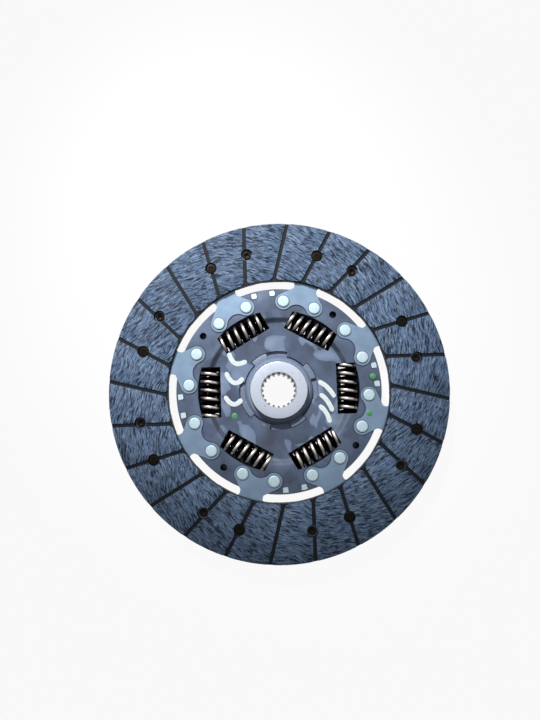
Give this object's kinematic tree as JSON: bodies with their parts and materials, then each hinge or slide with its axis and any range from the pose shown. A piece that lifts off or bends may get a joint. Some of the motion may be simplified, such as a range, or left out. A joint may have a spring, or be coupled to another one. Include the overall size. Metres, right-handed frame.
{
  "type": "clutch disc",
  "caption": "Dry clutch disc: grooved friction rings riveted to sprung segments, a coil-spring torsional damper and a splined hub.",
  "frame": {"origin": "on the axis of the hub, halfway between the two friction faces", "axes": "+Z along the hub's axis towards the flywheel side; +X and +Y across the disc, the first damper spring lying 1.9 degrees from +X"},
  "size_m": [0.24, 0.24, 0.026],
  "materials": {
    "friction_lining": "moulded organic friction lining, fibre-flecked bluish grey, matte",
    "lining_rivet": "sunk tubular rivets, dull",
    "cushion_steel": "cold-rolled spring steel sheet, pale bluish",
    "phosphated_plate": "grey phosphated pressed steel, mottled",
    "foot_rivet": "bright zinc-plated rivet heads",
    "spacer_steel": "bright upset tenon ends",
    "hub_steel": "bright turned and sized steel",
    "black_spring": "black oiled shot-peened spring wire, satin",
    "bush_plastic": "grey glass-filled plastic, satin",
    "washer_plastic": "dark friction washer, matte",
    "spring_steel": "blued spring steel"
  },
  "bodies": {
    "disc": {"front_lining": "friction_lining", "rear_lining": "friction_lining", "lining_rivets_front": "lining_rivet", "lining_rivets_rear": "lining_rivet", "cushion_segment_1": "cushion_steel", "cushion_segment_2": "cushion_steel", "cushion_segment_3": "cushion_steel", "cushion_segment_4": "cushion_steel", "cushion_segment_5": "cushion_steel", "cushion_segment_6": "cushion_steel", "cushion_segment_7": "cushion_steel", "cushion_segment_8": "cushion_steel", "front_guide_plate": "phosphated_plate", "rear_guide_plate": "phosphated_plate", "foot_rivets": "foot_rivet", "stop_spacer_1": "spacer_steel", "stop_spacer_2": "spacer_steel", "stop_spacer_3": "spacer_steel", "stop_spacer_4": "spacer_steel", "front_bush": "bush_plastic", "front_friction_washer": "washer_plastic", "rear_friction_washer": "washer_plastic", "disc_spring": "spring_steel", "rear_bush": "bush_plastic"},
    "hub": {"hub": "hub_steel"},
    "damper_springs": {"damper_spring_1": "black_spring", "damper_spring_2": "black_spring", "damper_spring_3": "black_spring", "damper_spring_4": "black_spring", "damper_spring_5": "black_spring", "damper_spring_6": "black_spring"}
  },
  "joints": [
    {"name": "hub_twist", "type": "hinge", "parent": "disc", "child": "hub", "pos_m": [0, 0, 0], "axis": [0, 0, 1], "range_deg": [-8, 8], "stiffness_Nm_per_rad": 40, "deforming": ["damper_spring_1", "damper_spring_2", "damper_spring_3", "damper_spring_4", "damper_spring_5", "damper_spring_6"]},
    {"name": "springs_follow", "type": "hinge", "parent": "disc", "child": "damper_springs", "pos_m": [0, 0, 0], "axis": [0, 0, 1], "range_deg": [-4, 4]}
  ],
  "couplings": [
    {"joint": "springs_follow", "follows": "hub_twist", "ratio": 0.5}
  ]
}
